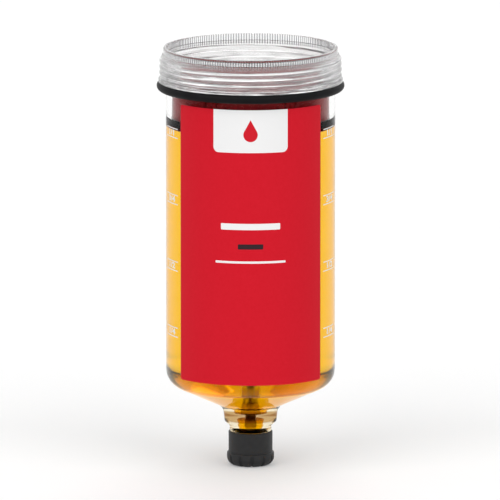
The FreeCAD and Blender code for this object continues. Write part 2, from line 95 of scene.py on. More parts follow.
# Heights of the painted shade band on the neck, where the web lies behind it.
WEB_SHADE_FOOT, WEB_SHADE_TOP = 16.4, 20.0
# Top of the painted golden light on the clear shoulder.
PAINTED_GLOW_TOP = 31.0
# Indices of refraction, here and for the oil, are chosen for likeness. With the real ones the charge fills
# with reflections that the photo doesn't show. The charged and the empty part of the wall meet at the foot
# of the piston's seal, which hides their border at rest.
NECK_INDEX = 1.12
CHARGED_INDEX = 1.49
EMPTY_INDEX = 1.12
THREAD_INDEX = 1.36
RIM_INDEX = 1.49


def rounded(corners, closed=True, bend=0.22, support=0.12):
    """Outline (radius, height) through corners that each give a rounding radius.

    A rounding starts its radius over the tangent of the half angle before the corner, and its points are
    the centre plus the radius in directions that turn evenly. Straight runs get a point near each end,
    so that smooth shading stays flat on them.
    """
    points = np.array([corner[:2] for corner in corners], float)
    stretches = []
    for index, corner in enumerate(corners):
        point, rounding = points[index], corner[2]
        on_end = not closed and index in (0, len(corners) - 1)
        if rounding == 0 or on_end:
            stretches.append(point[None])
            continue
        back = points[index - 1] - point
        ahead = points[(index + 1) % len(points)] - point
        back, ahead = back / np.linalg.norm(back), ahead / np.linalg.norm(ahead)
        half = math.acos(np.clip(back @ ahead, -1, 1)) / 2
        middle = point + (back + ahead) / np.linalg.norm(back + ahead) * rounding / math.sin(half)
        reach = rounding / math.tan(half)
        start, end = (math.atan2(*(point + way * reach - middle)[::-1]) for way in (back, ahead))
        sweep = (end - start + math.pi) % (2 * math.pi) - math.pi
        turns = start + sweep * np.linspace(0, 1, 2 + int(abs(sweep) / bend))
        stretches.append(middle + rounding * np.stack([np.cos(turns), np.sin(turns)], axis=1))
    outline = []
    for index, stretch in enumerate(stretches):
        outline.append(stretch)
        if index == len(stretches) - 1 and not closed:
            break
        start, end = stretch[-1], stretches[(index + 1) % len(stretches)][0]
        run = end - start
        length = np.linalg.norm(run)
        if length > 4 * support:
            outline.append(start + run / length * np.array([[support], [length - support]]))
    return np.concatenate(outline)


def thread(radius, height, turn, sizes):
    """Radius with a helical ridge: full at the crest, falling off by the square of the distance.

    The crest's height grows by one pitch a turn, so the thread is right-handed. Its first and last turns are
    counted from +X, and it fades in and out there by a smooth step of the angle along the helix.
    """
    along = (height - sizes["foot"]) / sizes["pitch"] - turn / (2 * math.pi)
    whole = np.round(along)
    distance = np.abs(along - whole) * sizes["pitch"] / sizes["half_width"]
    angle = turn + 2 * math.pi * whole
    ends = np.minimum(angle - 2 * math.pi * sizes["first"], 2 * math.pi * sizes["last"] - angle)
    fade = np.clip(ends / sizes["fade"], 0, 1)
    ridge = np.clip(1 - distance ** 2, 0, 1) * fade * fade * (3 - 2 * fade)
    return np.where(np.abs(radius - sizes["root"]) < 1e-6, radius + sizes["height"] * ridge, radius)


def circle_angles(columns):
    """Evenly spaced turning angles of a full circle."""
    return np.arange(columns) * 2 * math.pi / columns


def ring_points(radius, height, columns):
    """Points of a turned surface: rows follow the outline, columns the turning angle."""
    turn = circle_angles(columns)
    radius, height, turn = np.broadcast_arrays(radius, height, turn)
    return np.stack([radius * np.cos(turn), radius * np.sin(turn), height], axis=-1)


def band_faces(lower, upper):
    """Four-cornered faces between two blocks of rows of point numbers, each row a full circle."""
    corners = [lower, np.roll(lower, -1, axis=-1), np.roll(upper, -1, axis=-1), upper]
    return np.stack(corners, axis=-1).reshape(-1, 4)


def fan_faces(coarse, fine):
    """Faces that join a full circle of points to one with several points for each of its own."""
    share = len(fine) // len(coarse)
    start = np.arange(len(coarse)) * share
    above = fine[(start[:, None] + np.arange(share, -1, -1)) % len(fine)]
    return np.concatenate([coarse[:, None], np.roll(coarse, -1)[:, None], above], axis=1)


def make_piece(name, points, *faces):
    """A smooth-shaded mesh object from points in millimetres and arrays of faces, one per corner count."""
    mesh = bpy.data.meshes.new(name)
    points = np.asarray(points).reshape(-1, 3)
    corners = np.concatenate([block.ravel() for block in faces])
    counts = np.concatenate([np.full(len(block), block.shape[1]) for block in faces])
    mesh.vertices.add(len(points))
    mesh.vertices.foreach_set("co", (points * MM).ravel())
    mesh.loops.add(len(corners))
    mesh.loops.foreach_set("vertex_index", corners)
    mesh.polygons.add(len(counts))
    mesh.polygons.foreach_set("loop_start", np.cumsum(counts) - counts)
    mesh.polygons.foreach_set("use_smooth", np.ones(len(counts), bool))
    mesh.update(calc_edges=True)
    piece = bpy.data.objects.new(name, mesh)
    bpy.context.scene.collection.objects.link(piece)
    return piece


def shell_outline():
    """The shell's outline, from just under the teeth down the inside and up the outside to the rim's top."""
    thread_heights = np.arange(FLANGE_FOOT + 1.2, RIM_TOP - 3.6, 0.16)
    spigot_heights = np.arange(SPIGOT_END + 0.4, SPIGOT_END + 9.3, 0.13)
    socket_heights = np.arange(RIM_TOP - TOOTH_LENGTH - 0.7, RIM_TOP - 13.0, -0.11)
    ripple = RIPPLE * (1 - np.cos(2 * math.pi * socket_heights / RIPPLE_PITCH)) / 2
    return rounded([
        (SOCKET_RADIUS, TEETH_FOOT, 0),
        *[(SOCKET_RADIUS + out, height, 0) for out, height in zip(ripple, socket_heights)],
        (SOCKET_RADIUS, SOCKET_FLOOR, 0.15),
        (BORE_RADIUS, SOCKET_FLOOR, 0.3),
        (BORE_RADIUS, CHARGE_TOP, 0),
        (BORE_RADIUS, SHOULDER_TOP, 5.0),
        (THROAT_RADIUS, THROAT_TOP, 0.8),
        (THROAT_RADIUS, WEB_TOP, 0.3),
        (VALVE_HOLE_RADIUS, WEB_TOP, 0.1),
        (VALVE_HOLE_RADIUS, WEB_FOOT, 0.1),
        (TAPER_RADIUS, WEB_FOOT, 0.4),
        (OUTLET_RADIUS, TAPER_FOOT, 1.5),
        (OUTLET_RADIUS, SPIGOT_END, 0.3),
        (SPIGOT_RADIUS, SPIGOT_END, 0.35),
        *[(SPIGOT_RADIUS, height, 0) for height in spigot_heights],
        (SPIGOT_RADIUS, SPIGOT_SEAT, 0.15),
        (SEAT_RADIUS, SPIGOT_SEAT, 0.25),
        (SEAT_RADIUS, 14.5, 0.6),
        (9.45, 16.3, 0.7),
        (10.0, 21.6, 4.0),
        (BARREL_RADIUS, 31.12, 7.0),
        (BARREL_RADIUS, CHARGE_TOP, 0),
        (BARREL_RADIUS, FLANGE_FOOT, 0.2),
        (FLANGE_RADIUS, FLANGE_FOOT, 0.1),
        (FLANGE_RADIUS, FLANGE_TOP, 0.25),
        (MOUTH_THREAD["root"], FLANGE_TOP, 0.15),
        *[(MOUTH_THREAD["root"], height, 0) for height in thread_heights],
        (MOUTH_THREAD["root"], STEP_FOOT, 0.12),
        (STEP_RADIUS, STEP_FOOT, 0.1),
        (STEP_RADIUS, STEP_TOP, 0.25),
        (RIM_RADIUS, STEP_TOP, 0.2),
        (RIM_RADIUS, RIM_TOP, 0.35),
        (SOCKET_RADIUS + TOOTH_DEPTH + 0.3, RIM_TOP, 0),
    ], closed=False)


def make_shell():
    """The shell's outline turned about the axis, with both threads, and the toothed band inside its rim.

    A tooth's groove is deepest midway between two columns and rises evenly to both. The band takes several
    points a column to show it, and fans of faces join it to the rest.
    """
    outline = shell_outline()
    turn = circle_angles(SHELL_COLUMNS)
    radius, height = outline[:, :1], outline[:, 1:]
    radius = thread(radius + 0 * turn, height, turn, MOUTH_THREAD)
    radius = thread(radius, height, turn, SPIGOT_THREAD)
    body = ring_points(radius, height, SHELL_COLUMNS)

    phase = np.arange(SHELL_COLUMNS * TOOTH_SAMPLES) % TOOTH_SAMPLES / TOOTH_SAMPLES
    groove = 1 - np.abs(2 * phase - 1)
    # outwards from the socket, upwards from the rim's top, and 1 where the row is grooved
    steps = np.array([(0.28, 0, 0), (0.06, 0, 1), (0, -0.06, 1), (0, -1.2, 1), (0, -2.6, 1),
                      (0, 0.45 - TOOTH_LENGTH, 1), (0, -TOOTH_LENGTH, 0)])
    outward, upward, grooved = steps[:, :1], steps[:, 1:2], steps[:, 2:]
    out = SOCKET_RADIUS + outward + TOOTH_DEPTH * (grooved * groove + (1 - grooved) * (outward > 0))
    teeth = ring_points(out, RIM_TOP + upward, SHELL_COLUMNS * TOOTH_SAMPLES)

    rows = np.arange(len(outline) * SHELL_COLUMNS).reshape(len(outline), SHELL_COLUMNS)
    fine = rows.size + np.arange(teeth[..., 0].size).reshape(len(steps), -1)
    return make_piece(
        "clear_shell", np.concatenate([body.reshape(-1, 3), teeth.reshape(-1, 3)]),
        band_faces(rows[:-1], rows[1:]), band_faces(fine[:-1], fine[1:]),
        fan_faces(rows[-1], fine[0]), fan_faces(rows[0], fine[-1])[:, ::-1])


class Channel:
    """A number or colour that changes over a surface. Its operators add Math nodes to its finish."""

    def __init__(self, finish, socket):
        self.finish, self.socket = finish, socket

    def __add__(self, other):
        return self.finish.maths("ADD", self, other)

    def __sub__(self, other):
        return self.finish.maths("SUBTRACT", self, other)

    def __rsub__(self, other):
        return self.finish.maths("SUBTRACT", other, self)

    def __mul__(self, other):
        return self.finish.maths("MULTIPLY", self, other)

    def __truediv__(self, other):
        return self.finish.maths("DIVIDE", self, other)

    def __abs__(self):
        return self.finish.maths("ABSOLUTE", self)

    def __gt__(self, other):
        return self.finish.maths("GREATER_THAN", self, other)

    def __lt__(self, other):
        return self.finish.maths("LESS_THAN", self, other)

    __radd__ = __add__
    __rmul__ = __mul__


class Finish:
    """The nodes of one finish, on a new material or on the surround."""

    def __init__(self, name, kind=bpy.data.materials):
        self.material = kind.new(name)
        self.material.use_nodes = True
        self.tree = self.material.node_tree
        self.tree.nodes.clear()

    def node(self, kind, settings=None, sockets=None, output=0):
        """Any node: its type, its settings, set first, and the values or links of its sockets."""
        made = self.tree.nodes.new("ShaderNode" + kind)
        for key, value in (settings or {}).items():
            setattr(made, key, value)
        for key, value in (sockets or {}).items():
            if isinstance(value, Channel):
                self.tree.links.new(value.socket, made.inputs[key])
            else:
                made.inputs[key].default_value = value
        return Channel(self, made.outputs[output] if made.outputs else None)

    def maths(self, operation, *values, clamp=False):
        """A Math node on numbers or channels."""
        return self.node("Math", {"operation": operation, "use_clamp": clamp}, dict(enumerate(values)))

    def ramp(self, value, slope):
        """A value times a slope, kept from 0 to 1."""
        return self.maths("MULTIPLY", value, slope, clamp=True)

    def place(self):
        """The place on the piece, in metres."""
        return self.node("TexCoord", output="Object")

    def part(self, way, place=None):
        """One coordinate of a place: 0 for X, 1 for Y, 2 for Z."""
        return self.node("SeparateXYZ", {}, {0: place or self.place()}, output=way)

    def noise(self, scale, detail=2.0, place=None):
        """Cloudy noise from 0 to 1, with its scale in patches a metre."""
        return self.node("TexNoise", {}, {"Vector": place or self.place(), "Scale": scale, "Detail": detail})

    def blend(self, share, low, high):
        """A colour between two others."""
        return self.node("Mix", {"data_type": "RGBA"}, {0: share, 6: low, 7: high}, output=2)

    def relief(self, height, distance, strength=1.0):
        """The normal of a surface raised by a height from 0 to 1 times a distance in metres."""
        return self.node("Bump", {}, {"Height": height, "Distance": distance, "Strength": strength})

    def surface(self, **sockets):
        """The finish's one shader; a socket's name has underscores for its spaces."""
        named = {key.replace("_", " "): value for key, value in sockets.items()}
        shader = self.node("BsdfPrincipled", {}, named)
        self.node("OutputMaterial", {}, {"Surface": shader})
        return self.material


def clear_plastic(name, bend):
    """Clear polished plastic with a moulding's faint ripple, for a zone with its own index of refraction.

    Its colour is painted golden downwards, by 0.4 a millimetre: painted light of the oil that the shoulder
    gathers.
    """
    finish = Finish(name)
    ripple = finish.noise(160, 1.0)
    # Painted light: the colour turns golden below the shoulder, for the oil's light that it gathers.
    low = finish.ramp(PAINTED_GLOW_TOP - finish.part(2) / MM, 0.4)
    colour = finish.blend(ripple, (0.99, 0.99, 0.985, 1), (0.97, 0.97, 0.965, 1))
    return finish.surface(Base_Color=finish.blend(low, colour, (0.98, 0.76, 0.14, 1)),
                          Roughness=0.01 + 0.02 * finish.noise(60, 2.0), IOR=bend, Transmission_Weight=1.0,
                          Specular_Tint=(0.15, 0.15, 0.15, 1), Normal=finish.relief(ripple, 0.00004, 0.3))


def neck_plastic():
    """The thick neck's plastic, slightly frosted and beige, with a painted dark orange shade where the web
    lies behind it.
    """
    finish = Finish("clear_plastic_neck")
    height = finish.part(2) / MM
    # Painted shade: a dark orange band on the wall where the web lies behind it.
    painted_web_shade = finish.ramp(height - WEB_SHADE_FOOT, 1.6) * finish.ramp(WEB_SHADE_TOP - height, 1.6)
    colour = finish.blend(painted_web_shade, (0.92, 0.83, 0.62, 1), (0.36, 0.17, 0.045, 1))
    return finish.surface(Base_Color=colour, Roughness=0.12 + 0.08 * finish.noise(300, 2.0), IOR=NECK_INDEX,
                          Transmission_Weight=1.0, Specular_Tint=(0.3, 0.3, 0.3, 1))


def thread_plastic():
    """The thread's plastic, with fine clear and dark streaks painted sideways on it as painted reflections.

    A streak is six times the noise less three, kept from 0 to 1. The same noise gives a faint relief. The
    painted streaks get darker with the square of the depth under the rim.
    """
    finish = Finish("clear_plastic_thread")
    drawn = finish.node("VectorMath", {"operation": "MULTIPLY"}, {0: finish.place(), 1: (90, 90, 2600)})
    streak = finish.noise(1.0, 1.0, place=drawn)
    depth = finish.ramp(RIM_TOP - finish.part(2) / MM, 0.08)
    # Painted reflection: dark streaks in the colour, stronger deeper under the rim.
    painted_dark_reflection = finish.maths("MULTIPLY_ADD", streak, 6.0, -3.0, clamp=True) * depth * depth
    return finish.surface(Base_Color=finish.blend(painted_dark_reflection, (0.99, 0.99, 0.99, 1), (0.12, 0.12, 0.125, 1)),
                          Roughness=0.02 + 0.04 * finish.noise(60, 2.0), IOR=THREAD_INDEX,
                          Transmission_Weight=0.82, Specular_Tint=(0.3, 0.3, 0.3, 1),
                          Normal=finish.relief(streak, 0.0002, 0.5))


def rim_plastic():
    """The rim's clear plastic, with a painted dark line of shade between each two neighbouring teeth."""
    finish = Finish("clear_plastic_rim")
    across, along, height = (finish.part(way) for way in range(3))
    # Painted shade: a dark line midway between neighbouring teeth, on the toothed band only.
    painted_valley_shade = finish.maths("COSINE", finish.maths("ARCTAN2", along, across) * SHELL_COLUMNS) < -0.1
    inside = (across * across + along * along) < ((SOCKET_RADIUS + TOOTH_DEPTH + 0.1) * MM) ** 2
    toothed = height > (RIM_TOP - 3.6) * MM
    colour = finish.blend(painted_valley_shade * inside * toothed, (0.99, 0.99, 0.99, 1), (0.2, 0.2, 0.21, 1))
    return finish.surface(Base_Color=colour, Roughness=0.02, IOR=RIM_INDEX, Transmission_Weight=1.0,
                          Specular_Tint=(0.3, 0.3, 0.3, 1))


def share_out(piece, borders, outside_top):
    """Give each face the material of the height zone that its middle is in.

    On the outside, the last zone starts only at a height of its own.
    """
    middles = np.empty(3 * len(piece.data.polygons))
    piece.data.polygons.foreach_get("center", middles)
    across, along, height = middles.reshape(-1, 3).T / MM
    zone = np.searchsorted(borders, height)
    outside = (np.hypot(across, along) > MOUTH_THREAD["root"] - 0.6) & (height < outside_top)
    zone = np.where(outside, np.minimum(zone, len(borders) - 1), zone)
    piece.data.polygons.foreach_set("material_index", zone.astype(np.int32))


shell = make_shell()
shell.data.materials.append(neck_plastic())
shell.data.materials.append(clear_plastic("clear_plastic_shoulder", CHARGED_INDEX))
shell.data.materials.append(clear_plastic("clear_plastic_barrel", EMPTY_INDEX))
shell.data.materials.append(thread_plastic())
shell.data.materials.append(rim_plastic())
share_out(shell, [NECK_TOP, CHARGE_TOP, FLANGE_FOOT - 0.6, TEETH_FOOT], RIM_TOP - 2.4)
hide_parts("cartridge_shell")
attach(shell, "cartridge")

# Sealing ring of the mouth: a black rubber O-ring stretched round the barrel, up against the flange.
# The drive unit's sleeve closes on it.
RING_RADIUS = (FLANGE_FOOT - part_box("collar_o_ring")[0][2] / MM) / 2
RING_SKIN = RING_RADIUS - 0.01


def lathe(name, outline, columns=160):
    """An outline turned about the axis; one that starts and ends on the axis is closed by two poles."""
    outline = np.asarray(outline)
    if outline[0, 0] > 0:
        rows = np.arange(len(outline) * columns).reshape(-1, columns)
        return make_piece(name, ring_points(outline[:, :1], outline[:, 1:], columns),
                          band_faces(rows, np.roll(rows, -1, axis=0)))
    rings = outline[1:-1]
    rows = np.arange(len(rings) * columns).reshape(-1, columns)
    poles = np.stack([np.zeros(2), np.zeros(2), outline[[0, -1], 1]], axis=1)
    points = np.concatenate([ring_points(rings[:, :1], rings[:, 1:], columns).reshape(-1, 3), poles])
    low, high = np.full(columns, rows.size), np.full(columns, rows.size + 1)
    foot = np.stack([low, np.roll(rows[0], -1), rows[0]], axis=1)
    top = np.stack([rows[-1], np.roll(rows[-1], -1), high], axis=1)
    return make_piece(name, points, band_faces(rows[:-1], rows[1:]), foot, top)


def black_rubber():
    """Black moulded rubber, satin, with fine mottling."""
    finish = Finish("black_rubber")
    grain = finish.noise(2500, 4.0)
    colour = finish.blend(finish.noise(300), (0.005, 0.005, 0.0055, 1), (0.010, 0.010, 0.011, 1))
    return finish.surface(Base_Color=colour, Roughness=0.38 + 0.2 * grain, Specular_IOR_Level=0.06,
                          Normal=finish.relief(grain, 0.00002, 0.3))


RUBBER = black_rubber()
section = circle_angles(48)
ring_outline = np.stack([BARREL_RADIUS + RING_RADIUS + RING_SKIN * np.cos(section),
                         FLANGE_FOOT - RING_RADIUS + RING_SKIN * np.sin(section)], axis=1)
collar_ring = lathe("mouth_seal_ring", ring_outline, columns=SHELL_COLUMNS)
collar_ring.data.materials.append(RUBBER)
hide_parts("collar_o_ring")
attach(collar_ring, "cartridge")

# Front label: a red printed film with rounded corners, stuck round the front of the barrel. A white patch
# hangs from its top edge; a drop and plain bars stand where a print would be.
LABEL_FOOT, LABEL_TOP = (corner[2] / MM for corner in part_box("front_label"))
LABEL_RADIUS = -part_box("front_label")[0][1] / MM
LABEL_TURN = 55
LABEL_HALF = math.radians(LABEL_TURN) * LABEL_RADIUS
LABEL_CORNER = 1.0
LABEL_THICKNESS = 0.1
PRINT_WHITE = (0.86, 0.86, 0.86, 1)
PATCH = {"half": 13.8, "drop": 15.6, "corner": 2.0}
BAR_CORNER = 0.3
BARS = (
    # half width, middle height under the label's top, half height, colour
    (10.9, 42.6, 1.15, PRINT_WHITE),
    (4.6, 49.9, 0.95, (0.035, 0.02, 0.025, 1)),
    (13.0, 55.6, 0.4, PRINT_WHITE),
)


def make_label():
    """A sheet round the barrel, each row as wide as its corner arcs leave it, on rows dense at both ends."""
    tall = LABEL_TOP - LABEL_FOOT
    corner_rows = LABEL_CORNER * (1 - np.cos(np.linspace(0, math.pi / 2, 9)))
    up = np.sort(np.concatenate([corner_rows, np.linspace(0, tall, 14)[1:-1], tall - corner_rows]))
    short = np.clip(LABEL_CORNER - np.minimum(up, tall - up), 0, LABEL_CORNER)
    half = LABEL_HALF - LABEL_CORNER + np.sqrt(LABEL_CORNER ** 2 - short ** 2)
    across = np.linspace(-1, 1, 121)
    arc = half[:, None] * across
    turn = arc / LABEL_RADIUS - math.pi / 2
    up = np.broadcast_to(up[:, None], arc.shape)
    points = np.stack([LABEL_RADIUS * np.cos(turn), LABEL_RADIUS * np.sin(turn), LABEL_FOOT + up], axis=-1)
    rows = np.arange(arc.size).reshape(arc.shape)
    faces = np.stack([rows[:-1, :-1], rows[:-1, 1:], rows[1:, 1:], rows[1:, :-1]], axis=-1).reshape(-1, 4)
    piece = make_piece("front_label_film", points, faces)
    flat = np.stack([arc, up], axis=-1).reshape(-1, 2)
    layer = piece.data.uv_layers.new(name="film")
    layer.data.foreach_set("uv", (flat[faces.ravel()] * MM).ravel())
    wall = piece.modifiers.new("film", "SOLIDIFY")
    wall.thickness = LABEL_THICKNESS * MM
    wall.offset = -1
    return piece


def printed_film():
    """Red printed film: flat colour with a faint print grain, and fields of white and near-black ink."""
    finish = Finish("printed_film")
    flat = finish.node("UVMap", {"uv_map": "film"})
    across = finish.part(0, flat) / MM
    under = (LABEL_TOP - LABEL_FOOT) - finish.part(1, flat) / MM
    grain = finish.noise(900, 3.0)
    colour = finish.blend(grain, (0.60, 0.008, 0.019, 1), (0.65, 0.012, 0.026, 1))

    def field(half_width, middle, half_height, corner):
        """1 where the distance from the rectangle of the corners' centres is under the corners' radius."""
        aside = finish.maths("MAXIMUM", abs(across) - (half_width - corner), 0.0)
        away = finish.maths("MAXIMUM", abs(under - middle) - (half_height - corner), 0.0)
        return (aside * aside + away * away) < corner * corner

    patch = field(PATCH["half"], 0, PATCH["drop"], PATCH["corner"])
    colour = finish.blend(patch, colour, PRINT_WHITE)
    colour = finish.blend(drop_mark(across, under), colour, (0.62, 0.014, 0.026, 1))
    for half_width, middle, half_height, ink in BARS:
        colour = finish.blend(field(half_width, middle, half_height, BAR_CORNER), colour, ink)
    return finish.surface(Base_Color=colour, Roughness=0.36 + 0.1 * grain, Specular_IOR_Level=0.06,
                          Normal=finish.relief(grain, 0.00001, 0.25))


def drop_mark(across, under):
    """1 in a plain drop: a disc, and above it a point whose sides fall to the disc along straight lines."""
    middle, radius, tip = 9.0, 2.6, 3.6
    joined = middle - 1.1
    disc = (across * across + (under - middle) * (under - middle)) < radius * radius
    fall = (under - tip) / (joined - tip)
    point = (abs(across) < fall * radius * 0.9) * (under < joined) * (under > tip)
    return across.finish.maths("MAXIMUM", disc, point)


label = make_label()
label.data.materials.append(printed_film())
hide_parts("front_label")
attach(label, "cartridge")

# Level marks: white ink printed on the barrel at both edges of the label. Two thin lines enclose each
# quarter's fraction, so that the charge that is left can be read.
MARK_TURN = 68.2
MARK_HALF = 9.3
MARK_LINE = 0.36
MARK_GAP = 3.3
MARKS = (("1/1", 126.1), ("3/4", 101.8), ("1/2", 77.4), ("1/4", 53.1))
INK_RADIUS = BARREL_RADIUS + 0.015
INK_THICKNESS = 0.03
DIGIT_HEIGHT = 2.0
DIGIT_STRETCH = 1.65
FONT_SHARE = 0.7  # height of the font's digits as a share of its size


def white_ink():
    """Opaque white printing ink."""
    finish = Finish("white_ink")
    colour = finish.blend(finish.noise(1500), (0.78, 0.78, 0.77, 1), (0.88, 0.88, 0.87, 1))
    return finish.surface(Base_Color=colour, Roughness=0.55)


def wrap(flat, turn, height):
    """Points of a flat print (across, up) laid round the barrel, at an angle in degrees from the front."""
    angle = math.radians(turn - 90) + flat[:, 0] / INK_RADIUS
    return np.stack([INK_RADIUS * np.cos(angle), INK_RADIUS * np.sin(angle), height + flat[:, 1]], axis=1)


def digit_print(text):
    """Flat points and faces of a line of digits, centred, of the digits' height."""
    curve = bpy.data.curves.new("digits", "FONT")
    curve.body = text
    curve.size = 1.0
    curve.align_x, curve.align_y = "CENTER", "CENTER"
    curve.resolution_u = 3
    curve.offset = 0.03
    carrier = bpy.data.objects.new("digits", curve)
    mesh = bpy.data.meshes.new_from_object(carrier)
    points = np.empty(len(mesh.vertices) * 3)
    mesh.vertices.foreach_get("co", points)
    points = points.reshape(-1, 3)[:, :2] * DIGIT_HEIGHT / FONT_SHARE * [DIGIT_STRETCH, 1]
    faces = [tuple(face.vertices) for face in mesh.polygons]
    bpy.data.objects.remove(carrier)
    bpy.data.meshes.remove(mesh)
    return points, faces


def make_marks():
    """All lines and fractions of both scales, as one sheet of ink."""
    points, faces, count = [], [], 0
    across = np.linspace(-1, 1, 13) * math.radians(MARK_HALF) * INK_RADIUS
    for side in (-1, 1):
        for text, height in MARKS:
            for line in (height, height - MARK_GAP):
                up = np.repeat([-MARK_LINE / 2, MARK_LINE / 2], len(across))
                strip = np.stack([np.tile(across, 2), up], axis=1)
                points.append(wrap(strip, side * MARK_TURN, line))
                first = count + np.arange(len(across) - 1)
                quads = np.stack([first, first + 1, first + 1 + len(across), first + len(across)], axis=1)
                faces.extend(map(tuple, quads.tolist()))
                count += len(strip)
            digits, digit_faces = digit_print(text)
            points.append(wrap(digits, side * MARK_TURN, height - MARK_GAP / 2))
            faces.extend(tuple(count + corner for corner in face) for face in digit_faces)
            count += len(digits)
    mesh = bpy.data.meshes.new("level_marks")
    mesh.from_pydata((np.concatenate(points) * MM).tolist(), [], faces)
    piece = bpy.data.objects.new("level_marks", mesh)
    bpy.context.scene.collection.objects.link(piece)
    wall = piece.modifiers.new("ink", "SOLIDIFY")
    wall.thickness = INK_THICKNESS * MM
    wall.offset = 1
    return piece


marks = make_marks()
marks.data.materials.append(white_ink())
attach(marks, "cartridge")

# Piston: a dark red moulded cup that the drive pushes down the bore, with a shallow conical nose, radial
# ribs and sprung tongues between pairs of slots in its skirt.
JOIN_DISTANCE = 1e-6


def dressed_copy(node, name, sharp=35.0):
    """A copy of a node with its triangles joined, smooth where faces meet under an angle in degrees."""
    piece = bpy.data.objects.new(name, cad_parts[node].data.copy())
    bpy.context.scene.collection.objects.link(piece)
    piece.data.transform(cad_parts[node].matrix_world)
    work = bmesh.new()
    work.from_mesh(piece.data)
    bmesh.ops.remove_doubles(work, verts=work.verts, dist=JOIN_DISTANCE)
    work.to_mesh(piece.data)
    work.free()
    piece.data.shade_smooth()
    piece.data.set_sharp_from_angle(angle=math.radians(sharp))
    piece.data.materials.clear()
    return piece


def red_plastic():
    """Dark red moulded plastic, satin and opaque, in slightly uneven tones."""
    finish = Finish("red_plastic")
    grain = finish.noise(1200, 3.0)
    colour = finish.blend(finish.noise(120), (0.20, 0.006, 0.008, 1), (0.26, 0.010, 0.012, 1))
    return finish.surface(Base_Color=colour, Roughness=0.3 + 0.12 * grain, Specular_IOR_Level=0.08,
                          Normal=finish.relief(grain, 0.00002, 0.3))


piston = dressed_copy("piston_body", "piston")
piston.data.materials.append(red_plastic())
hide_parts("piston_body")
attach(piston, "piston")

# Piston seal: a black rubber ring in the piston's groove, pressed flat on the bore, so that it shows as one
# dark band through the wall.
SEAL_FOOT, SEAL_TOP = (corner[2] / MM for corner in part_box("piston_seal"))
PRESS = 0.04
SEAL_RADIUS = BORE_RADIUS + PRESS
SEAL_HOLE_RADIUS = BORE_RADIUS - 1.5
seal = lathe("piston_seal_ring", rounded([
    (SEAL_HOLE_RADIUS, SEAL_FOOT, 0.2), (SEAL_RADIUS, SEAL_FOOT, 0.15), (SEAL_RADIUS, SEAL_TOP, 0.15),
    (SEAL_HOLE_RADIUS, SEAL_TOP, 0.2),
]), columns=SHELL_COLUMNS)
seal.data.materials.append(RUBBER)
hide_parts("piston_seal")
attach(seal, "piston")

# Valve: a turned brass body pressed into the web, with a poppet that closes it from below. Its washer and
# coil spring stand in the oil above the body.
SPRING_FOOT, SPRING_TOP = (corner[2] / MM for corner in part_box("valve_spring"))
WIRE = 0.24  # the wire's radius
COIL_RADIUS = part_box("valve_spring")[1][0] / MM - 0.23
DEAD_TURNS = 1.0
LIVE_TURNS = 4.4
WASHER_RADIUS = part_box("valve_retainer")[1][0] / MM
WASHER_HOLE_RADIUS = 0.54
STEM_RADIUS = 0.55
POPPET_RADIUS = 1.75
STEM_FOOT, STEM_TOP = (corner[2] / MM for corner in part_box("valve_poppet"))
TOOL_RINGS = 9000  # radians a metre


def turned_brass():
    """Turned brass with fine rings left by the tool, painted paler and not metallic below the web as painted
    light.
    """
    finish = Finish("turned_brass")
    height = finish.part(2)
    rings = finish.maths("SINE", height * TOOL_RINGS) * 0.5 + 0.5
    colour = finish.blend(finish.noise(700, 3.0), (0.72, 0.56, 0.25, 1), (0.84, 0.68, 0.34, 1))
    # Painted light: below the web the brass is paler and not metallic, so that it looks brightly lit.
    sleeve = height < WEB_FOOT * MM
    return finish.surface(Base_Color=finish.blend(sleeve, colour, (1.0, 0.9, 0.62, 1)),
                          Metallic=0.6 - 0.6 * sleeve, Roughness=0.28 + 0.15 * finish.noise(1500),
                          Normal=finish.relief(rings, 0.00001, 0.3))


def spring_steel():
    """Drawn spring wire."""
    finish = Finish("spring_steel")
    return finish.surface(Base_Color=(0.42, 0.38, 0.30, 1), Metallic=1.0,
                          Roughness=0.25 + 0.15 * finish.noise(3000))


def make_spring():
    """A round wire along a helix whose end turns rise by one wire's thickness only, so that they lie flat."""
    total = LIVE_TURNS + 2 * DEAD_TURNS
    tall = SPRING_TOP - SPRING_FOOT
    along = np.linspace(0, total, 330)
    rise = np.interp(along, [0, DEAD_TURNS, total - DEAD_TURNS, total],
                     [0, 2 * WIRE, tall - 4 * WIRE, tall - 2 * WIRE])
    turn = along * 2 * math.pi
    round_wire = circle_angles(14)[:, None]
    radius = COIL_RADIUS + WIRE * np.cos(round_wire)
    height = SPRING_FOOT + WIRE + rise + WIRE * np.sin(round_wire)
    points = np.stack([radius * np.cos(turn), radius * np.sin(turn), height], axis=-1).transpose(1, 0, 2)
    rows = np.arange(points[..., 0].size).reshape(points.shape[:2])
    return make_piece("valve_coil_spring", points, band_faces(rows[:-1], rows[1:])[:, ::-1],
                      rows[:1], rows[-1:, ::-1])


BRASS = turned_brass()
valve_body = dressed_copy("valve_body", "valve_turning")
poppet = lathe("valve_poppet_turning", rounded([
    (0, STEM_FOOT, 0), (1.6, STEM_FOOT, 0.2),
    (POPPET_RADIUS, STEM_FOOT + 0.35, 0.15), (POPPET_RADIUS, STEM_FOOT + 0.9, 0.1),
    (STEM_RADIUS, STEM_FOOT + 0.98, 0.1), (STEM_RADIUS, STEM_TOP - 0.3, 0.12),
    (0.35, STEM_TOP, 0.1), (0, STEM_TOP, 0),
], closed=False), columns=48)
washer = lathe("valve_washer", rounded([
    (WASHER_HOLE_RADIUS, SPRING_TOP, 0.05), (WASHER_RADIUS - 0.2, SPRING_TOP, 0.1),
    (WASHER_RADIUS, SPRING_TOP + 0.2, 0.1), (WASHER_RADIUS, SPRING_TOP + 0.7, 0.12),
    (WASHER_RADIUS - 0.3, SPRING_TOP + 0.8, 0.1), (WASHER_HOLE_RADIUS, SPRING_TOP + 0.8, 0.05),
]), columns=64)
spring = make_spring()
